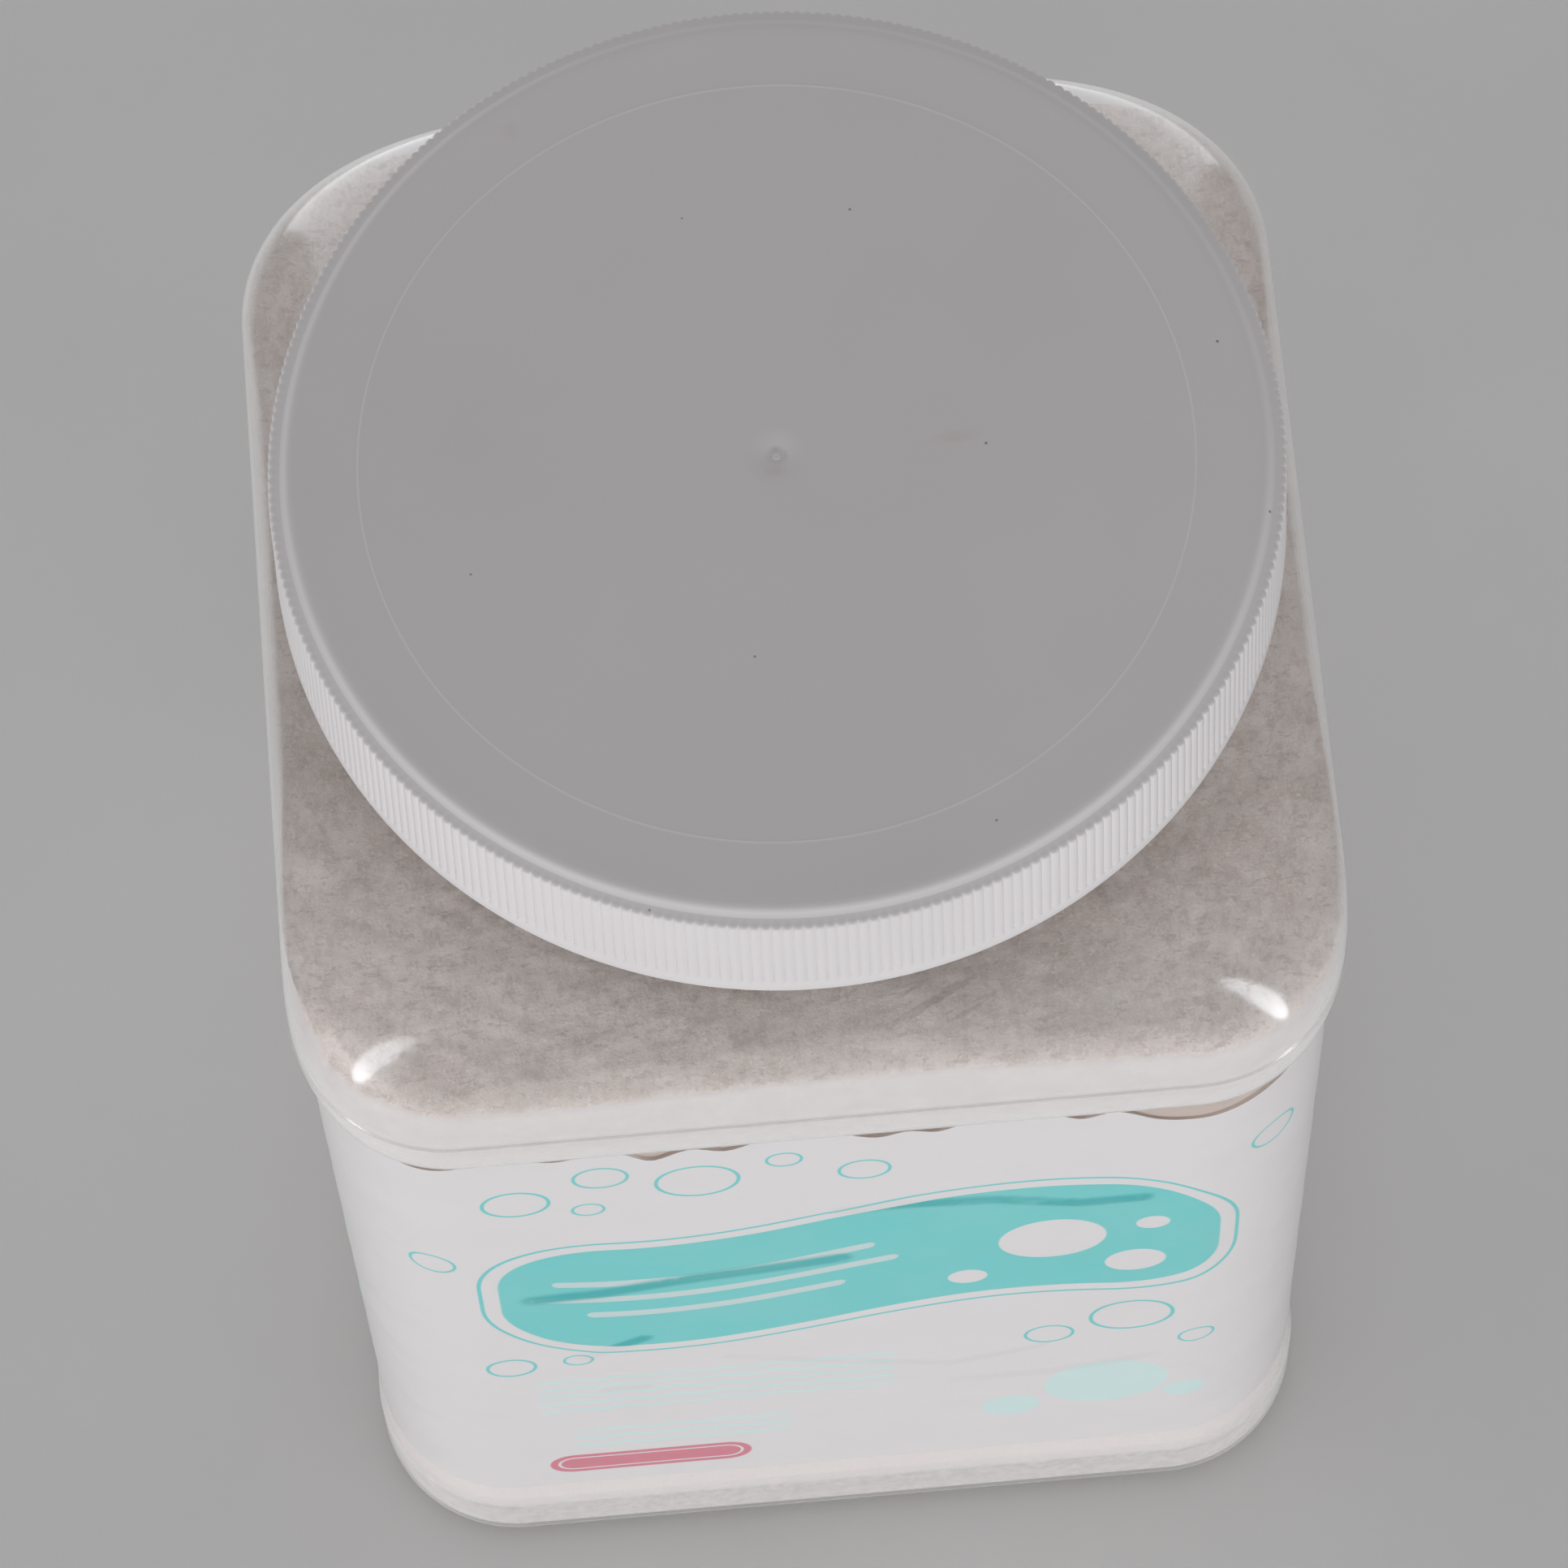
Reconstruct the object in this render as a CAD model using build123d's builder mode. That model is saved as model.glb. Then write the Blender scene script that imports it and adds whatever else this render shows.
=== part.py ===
"""Detergent tub: a clear rounded-square jar with a ribbed white screw lid, a film label and powder.

Millimetres, +Z up. The origin is the centre of the face that the jar stands on. The label's front is -Y.
The lid is shown screwed home. It turns about +Z and rises by the thread's pitch in each turn.
"""

import os
from math import cos, pi, sin

from build123d import *

# Jar outline: width across the widest line, which is the moulding line round the shoulder's foot
jar_width = 130.8
corner_radius = 20.0
base_inset = 0.7
panel_inset = 1.7
lip_inset = 0.8

# Jar heights, each counted from the one before it
base_band_height = 13.5
base_ramp_height = 4.5
panel_height = 131.6
lip_ramp_height = 0.4
lip_height = 9.2
shoulder_rise = 29.8
neck_height = 18.4

# Jar walls and edges
wall = 0.9
floor_wall = 1.4
foot_radius = 4.0
push_up_width = 96.0
push_up_radius = 16.0
push_up_slope_run = 9.0
push_up_height = 4.5
parting_line_stand = 0.2
parting_line_height = 0.7

# Shoulder: a dome that turns the rounded square into the round neck
neck_root_flare = 1.9
shoulder_fullness_share = 2.3
shoulder_height_shares = (0.0, 0.3, 0.5, 0.68, 0.82, 0.92, 0.97, 0.995)

# Neck and screw thread
neck_radius = 57.1
neck_wall = 2.0
rim_edge = 0.5
thread_pitch = 5.08
thread_depth = 1.3
thread_root_width = 2.2
thread_crest_width = 1.0
thread_root_sink = 0.3
thread_radial_clearance = 0.5
thread_flank_clearance = 0.35
thread_turns = 1.5
thread_drop_from_rim = 3.8
thread_fade_turns = 0.12
thread_end_share = 0.12
sections_per_turn = 36
sections_per_run = 6

# Lid: its skirt's wall stands outside the neck's thread
lid_wall = 2.5
lid_height = 18.6
lid_top_wall = 1.76
lid_band_height = 2.1
lid_band_edge = 0.3
lid_band_step = 0.55
lid_panel_rise = 0.9
lid_panel_bevel = 0.55
lid_panel_margin = 2.65
lid_ring_margin = 11.4
lid_ring_width = 0.5
lid_ring_depth = 0.15
rib_count = 300
rib_depth = 0.4
gate_radius = 1.6
gate_depth = 0.35
gate_stub_radius = 0.5
gate_stub_height = 0.2

# Liner
liner_thickness = 1.0
liner_side_clearance = 0.5
liner_fit = 0.12

# Label: film of one thickness, stuck in the panel's recess
label_thickness = 0.25
label_fit = 0.05
label_top_margin = 0.2
label_bottom_margin = 1.5
label_seam_width = 12.0
label_seam_offset = 22.0
label_wave_depth = 5.6

# Places along half of the front's width, and shares of the wave's depth, where the film's edge dips
label_wave_shares = (
    (-0.86, 0.0), (-0.78, 0.3), (-0.69, 0.0), (-0.60, 0.0), (-0.54, 0.25), (-0.46, 0.0), (-0.41, 0.05),
    (-0.35, 0.62), (-0.27, 0.12), (-0.21, 0.42), (-0.14, 0.0), (0.02, 0.0), (0.10, 0.36), (0.15, 0.14),
    (0.20, 0.36), (0.26, 0.0), (0.44, 0.0), (0.49, 0.34), (0.54, 0.1), (0.62, 0.7), (0.72, 1.0),
    (0.82, 0.66), (0.93, 0.0),
)

# Powder: its top lies in the shoulder, higher along the left side
powder_fit = 0.1
powder_level = 172.0
powder_relief = 6.0
powder_relief_shares = (
    (0.15, -0.40, -0.05, -0.25, -0.35),
    (0.95, 0.15, 0.20, 0.05, -0.20),
    (1.05, 0.25, -0.15, 0.15, 0.00),
    (0.95, 0.30, 0.05, 0.10, -0.15),
    (0.40, 0.05, -0.10, -0.20, -0.30),
)

# One overrun for every cut that runs past a face
overrun = 2.0

# Sizes and places that follow from the ones above
jar_half = jar_width / 2
ramp_foot = base_band_height
panel_foot = ramp_foot + base_ramp_height
panel_top = panel_foot + panel_height
lip_foot = panel_top + lip_ramp_height
widest_line = lip_foot + lip_height
neck_foot = widest_line + shoulder_rise
rim = neck_foot + neck_height
bore_radius = neck_radius - neck_wall
neck_root_radius = neck_radius + neck_root_flare

lid_inner_radius = neck_radius + thread_depth + thread_radial_clearance
lid_radius = lid_inner_radius + lid_wall
lid_panel_radius = lid_radius - lid_panel_margin
lid_ring_radius = lid_radius - lid_ring_margin
lid_under = rim + liner_thickness + 2 * liner_fit
lid_top = lid_under + lid_top_wall
lid_foot = lid_top - lid_height
rib_foot = lid_foot + lid_band_height
rib_top = lid_top - lid_panel_rise
rib_radius = lid_radius - lid_band_step

neck_thread_top = rim - thread_drop_from_rim
neck_thread_foot = neck_thread_top - thread_pitch * thread_turns
engagement = thread_depth - thread_radial_clearance
flank_slope = (thread_root_width - thread_crest_width) / 2 / thread_depth
thread_offset = thread_crest_width + flank_slope * engagement + thread_flank_clearance
lid_thread_foot = neck_thread_foot - thread_offset


def rounded_square(height, inset, radius):
    """Rounded-square face at a height, drawn in from the widest line by an inset."""
    side = jar_width - 2 * inset
    with BuildSketch(Plane.XY.offset(height)) as outline:
        RectangleRounded(side, side, radius)
    return outline.sketch.face()


def jar_outline(height, inset):
    """Rounded square that keeps the jar's corner centres."""
    return rounded_square(height, inset, corner_radius - inset)


def shoulder_outlines(inset):
    """Rounded squares up the dome, whose corners grow until the last one is nearly the neck's circle."""
    rise = shoulder_rise - inset
    faces = []
    for height_share in shoulder_height_shares:
        level = height_share ** shoulder_fullness_share
        inward = 1 - (1 - level) ** (1 / shoulder_fullness_share)
        drawn_in = inset + inward * (jar_half - neck_root_radius)
        corner = corner_radius - inset + inward * (neck_root_radius - corner_radius)
        faces.append(rounded_square(widest_line + height_share * rise, drawn_in, corner))
    return faces


def jar_form(inset, floor, foot_edge, faceted):
    """Closed body of the jar below its neck, offset inwards and standing on a floor. Its foot's edge is a fillet or a
    chamfer, and its shoulder smooth or of straight bands, which stay inside the smooth form."""
    with BuildPart() as form:
        add(jar_outline(floor, base_inset + inset))
        extrude(amount=ramp_foot - floor)
        foot_edge(form.faces().sort_by(Axis.Z)[0].edges(), foot_radius - inset)
        loft([jar_outline(ramp_foot, base_inset + inset), jar_outline(panel_foot, panel_inset + inset)], ruled=True)
        add(jar_outline(panel_foot, panel_inset + inset))
        extrude(amount=panel_height)
        loft([jar_outline(panel_top, panel_inset + inset), jar_outline(lip_foot, lip_inset + inset)], ruled=True)
        lip_middle = lip_foot + lip_height / 2
        loft([
            jar_outline(lip_foot, lip_inset + inset),
            jar_outline(lip_middle, lip_inset / 4 + inset),
            jar_outline(widest_line, inset),
        ], ruled=True)
        loft(shoulder_outlines(inset), ruled=faceted)
    return form.part


def push_up(growth):
    """Tapered hump under the jar's floor, grown by a thickness on its top and sides."""
    foot_side = push_up_width + 2 * growth
    top_side = foot_side - 2 * push_up_slope_run
    with BuildPart() as hump:
        with BuildSketch(Plane.XY) as lower:
            RectangleRounded(foot_side, foot_side, push_up_radius + growth)
        with BuildSketch(Plane.XY.offset(push_up_height + growth)) as upper:
            RectangleRounded(top_side, top_side, push_up_radius + growth)
        loft([lower.sketch.face(), upper.sketch.face()], ruled=True)
    return hump.part


def thread_ridge(wall_radius, outward, first_height):
    """Single-start ridge that winds up a wall and fades at both ends. Outward is 1 on a neck, -1 in a lid."""
    steps = round(thread_turns * sections_per_turn)
    sections = []
    for step in range(steps + 1):
        turn = thread_turns * step / steps
        fade = min(1, turn / thread_fade_turns, (thread_turns - turn) / thread_fade_turns)
        stand = thread_depth * max(thread_end_share, sin(fade * pi / 2))
        angle = 2 * pi * turn
        radial = Vector(cos(angle), sin(angle), 0)
        centre = radial * wall_radius + Vector(0, 0, first_height + thread_pitch * turn)
        across = Plane(origin=centre, x_dir=radial * outward, z_dir=Vector(-sin(angle), cos(angle), 0))
        root = thread_root_width / 2
        crest = thread_crest_width / 2
        with BuildSketch(across) as section:
            Polygon((-thread_root_sink, -root), (stand, -crest), (stand, crest), (-thread_root_sink, root), align=None)
        sections.append(section.sketch.face())
    return [loft(sections[first:first + sections_per_run + 1]) for first in range(0, steps, sections_per_run)]


def rib_outline(height, radius):
    """Ring of ribs with two flanks each, as one closed outline that steps between crests and grooves."""
    points = []
    for half_rib in range(2 * rib_count):
        reach = radius - rib_depth * (half_rib % 2)
        angle = pi * half_rib / rib_count
        points.append((reach * cos(angle), reach * sin(angle)))
    with BuildSketch(Plane.XY.offset(height)) as outline:
        Polygon(*points, align=None)
    return outline.sketch.face()


def powder_surface():
    """Gently heaped surface whose heights follow the relief shares, from front to back and left to right."""
    rows = len(powder_relief_shares)
    reach = jar_half + overrun
    points = []
    for row, shares in enumerate(powder_relief_shares):
        across = []
        for column, share in enumerate(shares):
            x = reach * (2 * column / (len(shares) - 1) - 1)
            y = reach * (2 * row / (rows - 1) - 1)
            across.append(Vector(x, y, powder_level + powder_relief * share))
        points.append(across)
    return Face.make_surface_from_array_of_points(points)


# Jar: blown shell with an open threaded neck
jar_outside = jar_form(0, 0, fillet, faceted=False)
jar_inside = jar_form(wall, floor_wall, fillet, faceted=True)
floor_hump = push_up(floor_wall)
under_hump = push_up(0)
neck_thread = thread_ridge(neck_radius, 1, neck_thread_foot)

with BuildPart() as jar:
    add(jar_outside)
    add(jar_outline(widest_line - parting_line_height / 2, -parting_line_stand))
    extrude(amount=parting_line_height)
    add(jar_inside, mode=Mode.SUBTRACT)
    add(floor_hump)
    add(under_hump, mode=Mode.SUBTRACT)
    with BuildSketch(Plane.XY.offset(neck_foot - wall)):
        Circle(neck_radius)
    extrude(amount=rim - neck_foot + wall)
    chamfer(jar.faces().sort_by(Axis.Z)[-1].edges(), rim_edge)
    with BuildSketch(Plane.XY.offset(widest_line)):
        Circle(bore_radius)
    extrude(amount=rim + overrun - widest_line, mode=Mode.SUBTRACT)
    add(neck_thread)

# Lid: ribbed skirt, raised panel and an inner thread that meshes with the neck's
lid_thread = thread_ridge(lid_inner_radius, -1, lid_thread_foot)
ring_inside = lid_ring_radius - lid_ring_width / 2
ring_outside = lid_ring_radius + lid_ring_width / 2

with BuildPart() as lid:
    add(rib_outline(rib_foot, rib_radius))
    extrude(amount=rib_top - rib_foot)
    with BuildSketch(Plane.XZ):
        with BuildLine():
            Polyline(
                (0, rib_foot),
                (0, lid_foot),
                (lid_radius - lid_band_edge, lid_foot),
                (lid_radius, lid_foot + lid_band_edge),
                (lid_radius, rib_foot),
                close=True,
            )
        make_face()
    revolve(axis=Axis.Z)
    with BuildSketch(Plane.XZ):
        with BuildLine():
            Polyline(
                (0, rib_top),
                (0, lid_top - gate_depth + gate_stub_height),
                (gate_stub_radius, lid_top - gate_depth + gate_stub_height),
                (gate_stub_radius, lid_top - gate_depth),
                (gate_radius - gate_depth, lid_top - gate_depth),
                (gate_radius, lid_top),
                (ring_inside, lid_top),
                (lid_ring_radius, lid_top - lid_ring_depth),
                (ring_outside, lid_top),
                (lid_panel_radius, lid_top),
                (lid_panel_radius + lid_panel_bevel, rib_top),
                close=True,
            )
        make_face()
    revolve(axis=Axis.Z)
    with BuildSketch(Plane.XY.offset(lid_foot)):
        Circle(lid_inner_radius)
    extrude(amount=lid_under - lid_foot, mode=Mode.SUBTRACT)
    add(lid_thread)

# Liner: sealing disc between the rim and the lid's underside
with BuildPart() as liner:
    with BuildSketch(Plane.XY.offset(rim + liner_fit)):
        Circle(lid_inner_radius - liner_side_clearance)
    extrude(amount=liner_thickness)

# Label: film wrapped once round the recess, with a lapped seam at the back and a wavy upper edge
label_foot = panel_foot + label_bottom_margin
label_top = panel_top - label_top_margin
label_height = label_top - label_foot
label_inner = panel_inset - label_fit
label_outer = label_inner - label_thickness
seam_plane = Plane(origin=(label_seam_offset, jar_half - label_outer, label_foot), z_dir=(0, 0, 1))
wave_reach = jar_half - label_outer

with BuildPart() as label:
    add(jar_outline(label_foot, label_outer))
    extrude(amount=label_height)
    add(jar_outline(label_foot, label_inner))
    extrude(amount=label_height, mode=Mode.SUBTRACT)
    with BuildSketch(seam_plane):
        Rectangle(label_seam_width, 2 * label_thickness)
    extrude(amount=label_height)
    with BuildSketch(Plane.XZ.offset(wave_reach - corner_radius)):
        with BuildLine():
            wave = Spline(*[(across * wave_reach, label_top - label_wave_depth * dip)
                            for across, dip in label_wave_shares])
            Polyline(
                wave @ 0,
                ((wave @ 0).X, label_top + overrun),
                ((wave @ 1).X, label_top + overrun),
                wave @ 1,
            )
        make_face()
    extrude(amount=corner_radius + overrun, mode=Mode.SUBTRACT)

# Powder: fills the jar up to its heaped top
powder_inset = wall + powder_fit
powder_floor = floor_wall + powder_fit
powder_body = jar_form(powder_inset, powder_floor, chamfer, faceted=True)
powder_hollow = push_up(powder_floor)
heap = extrude(powder_surface(), amount=neck_foot, dir=(0, 0, -1))

with BuildPart() as powder:
    add(powder_body)
    add(powder_hollow, mode=Mode.SUBTRACT)
    add(heap, mode=Mode.INTERSECT)

jar.part.label = "jar"
lid.part.label = "lid"
liner.part.label = "liner"
label.part.label = "label"
powder.part.label = "powder"

os.makedirs("parts", exist_ok=True)
export_step(jar.part, "parts/jar.step")
export_step(lid.part, "parts/lid.step")
export_step(liner.part, "parts/liner.step")
export_step(label.part, "parts/label.step")
export_step(powder.part, "parts/powder.step")
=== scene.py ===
"""Looks of the detergent tub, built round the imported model.

Metres, +Z up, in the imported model's frame: the tub stands on z = 0 and its front is -Y. The jar, label,
powder and lid are finer meshes that stand for their nodes. The liner keeps its node's mesh.
"""

import math

import bpy
import numpy as np
from mathutils import Matrix, Vector
from mathutils.bvhtree import BVHTree


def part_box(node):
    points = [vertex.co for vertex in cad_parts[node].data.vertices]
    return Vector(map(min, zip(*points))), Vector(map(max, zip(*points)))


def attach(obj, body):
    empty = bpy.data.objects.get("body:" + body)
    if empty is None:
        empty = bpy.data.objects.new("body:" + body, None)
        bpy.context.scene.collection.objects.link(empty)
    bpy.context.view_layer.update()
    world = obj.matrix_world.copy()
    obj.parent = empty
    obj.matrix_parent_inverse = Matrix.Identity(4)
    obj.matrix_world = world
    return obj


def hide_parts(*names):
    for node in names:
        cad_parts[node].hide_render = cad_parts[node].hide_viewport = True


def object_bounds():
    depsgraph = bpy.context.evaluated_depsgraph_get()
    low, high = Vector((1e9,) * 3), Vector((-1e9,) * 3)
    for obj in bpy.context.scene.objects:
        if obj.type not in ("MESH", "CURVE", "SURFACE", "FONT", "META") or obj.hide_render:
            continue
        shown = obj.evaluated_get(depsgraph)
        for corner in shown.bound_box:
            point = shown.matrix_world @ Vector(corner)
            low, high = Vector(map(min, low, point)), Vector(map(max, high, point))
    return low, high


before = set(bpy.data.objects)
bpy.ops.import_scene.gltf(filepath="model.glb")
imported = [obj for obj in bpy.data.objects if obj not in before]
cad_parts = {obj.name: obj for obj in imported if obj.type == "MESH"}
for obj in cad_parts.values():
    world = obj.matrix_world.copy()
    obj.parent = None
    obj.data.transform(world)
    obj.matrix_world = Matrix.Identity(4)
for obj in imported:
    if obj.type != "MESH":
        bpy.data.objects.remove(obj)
cad_low, cad_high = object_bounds()
mm = 0.001

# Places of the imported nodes
jar_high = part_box("jar")[1]
lid_low, lid_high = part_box("lid")
label_low, label_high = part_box("label")
powder_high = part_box("powder")[1]

# Jar sizes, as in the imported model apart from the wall, which bent light makes look thin
parting_line_stand = 0.2 * mm
parting_line_height = 0.7 * mm
jar_half = jar_high.x - parting_line_stand
corner_radius = 20.0 * mm
base_inset = 0.7 * mm
panel_inset = 1.7 * mm
lip_inset = 0.8 * mm
ramp_foot = 13.5 * mm
panel_foot = 18.0 * mm
panel_edge = 0.35 * mm
lip_foot = 150.0 * mm
lip_ramp_height = 0.4 * mm
lip_corner = 0.12 * mm
lip_blend = 0.2 * mm
widest_line = 159.2 * mm
shoulder_rise = 29.8 * mm
shoulder_fullness_share = 2.3
neck_foot = widest_line + shoulder_rise
rim = jar_high.z
wall = 0.12 * mm
floor_wall = 1.4 * mm
foot_radius = 4.0 * mm
push_up_half = 48.0 * mm
push_up_radius = 16.0 * mm
push_up_slope_run = 9.0 * mm
push_up_height = 4.5 * mm
push_up_edge = 0.4 * mm
neck_root_radius = 59.0 * mm
neck_radius = 57.1 * mm
neck_wall = 2.0 * mm
neck_blend = 0.3 * mm
rim_edge = 0.5 * mm

# Thread sizes
thread_pitch = 5.08 * mm
thread_depth = 1.3 * mm
thread_root_half = 1.1 * mm
thread_crest_half = 0.5 * mm
thread_turns = 1.5
thread_fade_turns = 0.12
thread_end_share = 0.12
thread_edge = 0.12 * mm
thread_sink = 0.2 * mm
thread_below_rim = 3.8 * mm
neck_thread_foot = rim - thread_below_rim - thread_pitch * thread_turns
lid_thread_drop = 1.72 * mm

# Lid sizes
lid_radius = lid_high.x
lid_foot = lid_low.z
lid_top = lid_high.z
lid_wall = 2.5 * mm
lid_inner_radius = lid_radius - lid_wall
lid_top_wall = 1.76 * mm
lid_under = lid_top - lid_top_wall
lid_edge = 0.16 * mm
foot_band_height = 2.1 * mm
rib_foot = lid_foot + foot_band_height
rib_foot_stand = 0.08 * mm
panel_rise = 0.9 * mm
rib_top = lid_top - panel_rise
skirt_taper = 0.55 * mm
rib_radius = lid_radius - skirt_taper
rib_depth = 0.4 * mm
rib_count = 300
wall_rib_share = 0.42
panel_margin = 2.65 * mm
lid_panel_radius = lid_radius - panel_margin
lid_panel_bevel = 0.55 * mm
panel_round = 0.5 * mm
panel_sag = 0.22 * mm
ring_margin = 11.4 * mm
lid_ring_radius = lid_radius - ring_margin
lid_ring_half = 0.14 * mm
lid_ring_stand = 0.03 * mm
ring_sag = 0.15 * mm
gate_radius = 1.6 * mm
gate_depth = 0.25 * mm

# Label sizes
label_thickness = 0.25 * mm
label_outer_inset = 1.4 * mm
label_seam_place = 22.0 * mm
label_seam_half = 6.0 * mm
long_wave = 16 * mm
short_wave = 7 * mm
wave_height = 0.045 * mm
film_sink = 0.03 * mm
film_low = -0.12 * mm
film_high = 0.4 * mm
curl_height = 0.12 * mm
curl_reach = 2.5 * mm
curl_length = 4 * mm
crease_rise_share = 0.35
hem_height = 0.8 * mm

# Powder sizes. Its edge drops from the sides to the front.
powder_gap = 0.03 * mm
powder_inset = wall + powder_gap
powder_floor = floor_wall + 0.1 * mm
hem_gap = 0.02 * mm
hem_inset = panel_inset + powder_inset - hem_gap
powder_edge_drop = 2.4 * mm
powder_edge_round = 5.0 * mm
powder_open_drop = 5.0 * mm
drop_start = 50 * mm
drop_run = 8 * mm
lump_height = 0.25 * mm

# Place of a shoulder's corner, for the lights that gleam on it
corner_place = 54.0 * mm

# Photograph's frame and the camera that fits it
picture_side = 1932
camera_place = Vector((-13.7, -379.0, 997.4)) * mm
camera_azimuth = math.radians(-1.877)
camera_elevation = math.radians(66.845)
camera_roll = math.radians(3.206)
focal_pixels = 9023.4
sensor_side = 36.0


def camera_axes():
    """The camera's right, down and forward directions."""
    azimuth, elevation, roll = camera_azimuth, camera_elevation, camera_roll
    forward = Vector((
        -math.sin(azimuth) * math.cos(elevation),
        math.cos(azimuth) * math.cos(elevation),
        -math.sin(elevation),
    ))
    level_right = Vector((math.cos(azimuth), math.sin(azimuth), 0))
    level_down = forward.cross(level_right)
    right = math.cos(roll) * level_right + math.sin(roll) * level_down
    down = math.cos(roll) * level_down - math.sin(roll) * level_right
    return right, down, forward


def pixel_ray(pixel):
    """Direction from the camera through a pixel of the photograph."""
    right, down, forward = camera_axes()
    across = (pixel[0] - picture_side / 2) / focal_pixels
    below = (pixel[1] - picture_side / 2) / focal_pixels
    return (forward + right * across + down * below).normalized()


def pixel_on_plane(pixel, axis, place):
    """Point that a pixel of the photograph shows on a plane across an axis."""
    ray = pixel_ray(pixel)
    return camera_place + ray * ((place - camera_place[axis]) / ray[axis])


def pixel_at_height(pixel, height):
    """Point at a height that a pixel of the photograph shows."""
    return pixel_on_plane(pixel, 2, height)


def pixel_on_front(pixel):
    """Place on the label's front that a pixel shows: across from the middle, and height."""
    point = pixel_on_plane(pixel, 1, label_outer_inset - jar_half)
    return point.x, point.z


def placement(x_axis, y_axis, z_axis, place):
    """Matrix of a thing's axes and its place."""
    return Matrix.Translation(place) @ Matrix((x_axis, y_axis, z_axis)).transposed().to_4x4()


def make_camera():
    """The photograph's camera."""
    right, down, forward = camera_axes()
    camera = bpy.data.objects.new("camera", bpy.data.cameras.new("camera"))
    camera.matrix_world = placement(right, -down, -forward, camera_place)
    camera.data.sensor_width = sensor_side
    camera.data.lens = focal_pixels / picture_side * sensor_side
    camera.data.clip_start = 10 * mm
    bpy.context.scene.collection.objects.link(camera)
    bpy.context.scene.camera = camera


class Nodes:
    """A node tree, with short calls for the nodes that it repeats."""

    def __init__(self, tree):
        self.tree = tree

    def feed(self, socket, value):
        """Links a node's output to a socket, or sets the socket's own value."""
        if isinstance(value, bpy.types.NodeSocket):
            self.tree.links.new(value, socket)
        else:
            socket.default_value = value

    def node(self, kind, settings=None, row=(), **inputs):
        """A new node with its settings, its first inputs in a row and others by name."""
        made = self.tree.nodes.new(kind)
        for name, value in (settings or {}).items():
            setattr(made, name, value)
        for socket, value in zip(made.inputs, row):
            self.feed(socket, value)
        for name, value in inputs.items():
            self.feed(made.inputs[name], value)
        return made

    def math(self, operation, *values):
        """Math node."""
        return self.node("ShaderNodeMath", {"operation": operation}, values).outputs[0]

    def vector(self, operation, *values):
        """Vector Math node, whose length and distance are plain numbers."""
        outputs = self.node("ShaderNodeVectorMath", {"operation": operation}, values).outputs
        return outputs["Value" if operation in ("LENGTH", "DISTANCE") else "Vector"]

    def times(self, value, other):
        """Product of two numbers."""
        return self.math("MULTIPLY", value, other)

    def apart(self, value, other):
        """How far one number is from another."""
        return self.math("ABSOLUTE", self.math("SUBTRACT", value, other))

    def upward(self, vector):
        """A vector's part along +Z."""
        return self.node("ShaderNodeSeparateXYZ", Vector=vector).outputs["Z"]

    def level_line(self, height, line, on=1.0, off=0.0):
        """A value on a level line, and another one away from it."""
        place, half, soft = line
        return self.spread(self.apart(height, place), half, soft, on, off)

    def facing(self):
        """The surface's own direction."""
        return self.node("ShaderNodeNewGeometry").outputs["Normal"]

    def mix(self, share, first, second):
        """Colour between two colours."""
        made = self.node("ShaderNodeMix", {"data_type": "RGBA"})
        self.feed(made.inputs[0], share)
        self.feed(made.inputs[6], first)
        self.feed(made.inputs[7], second)
        return made.outputs[2]

    def blend(self, share, first, second):
        """Surface between two surfaces."""
        return self.node("ShaderNodeMixShader", None, (share, first, second)).outputs[0]

    def spread(self, value, low, high, to_low=0.0, to_high=1.0, smooth=False):
        """A value's range mapped to another one, and held at its ends."""
        kind = "SMOOTHSTEP" if smooth else "LINEAR"
        ends = (value, low, high, to_low, to_high)
        return self.node("ShaderNodeMapRange", {"interpolation_type": kind}, ends).outputs[0]


class Paint(Nodes):
    """One material's nodes and the colour that it has so far."""

    def __init__(self, name, **sockets):
        self.material = bpy.data.materials.new(name)
        self.material.use_nodes = True
        super().__init__(self.material.node_tree)
        self.surface = self.tree.nodes["Principled BSDF"]
        self.output = self.tree.nodes["Material Output"]
        for name, value in sockets.items():
            socket = name.replace("_", " ").title().replace("Ior", "IOR")
            self.surface.inputs[socket].default_value = value
        self.place = self.node("ShaderNodeTexCoord").outputs["Object"]

    def noise(self, size, detail=3.0, roughness=0.5, place=None, stretch=None):
        """Noise of a given size, from 0 to 1."""
        where = place or self.place
        if stretch:
            where = self.vector("MULTIPLY", where, stretch)
        settings = {"Vector": where, "Scale": 1 / size, "Detail": detail, "Roughness": roughness}
        return self.node("ShaderNodeTexNoise", **settings).outputs[0]

    def bump(self, height, strength, depth, under=None):
        """Bump from a height between 0 and 1, on top of another one."""
        made = self.node("ShaderNodeBump", Strength=strength, Distance=depth, Height=height)
        if under:
            self.feed(made.inputs["Normal"], under)
        return made.outputs[0]

    def tint(self, share, colour):
        """Lays a colour over the paint's own one."""
        self.colour = self.mix(share, self.colour, colour)

    def finish(self, normal=None, rough=None):
        """Feeds the surface its colour and more, and hands over the material."""
        fed = {"Base Color": self.colour, "Normal": normal, "Roughness": rough}
        for name, value in fed.items():
            if value:
                self.feed(self.surface.inputs[name], value)
        return self.material


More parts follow.
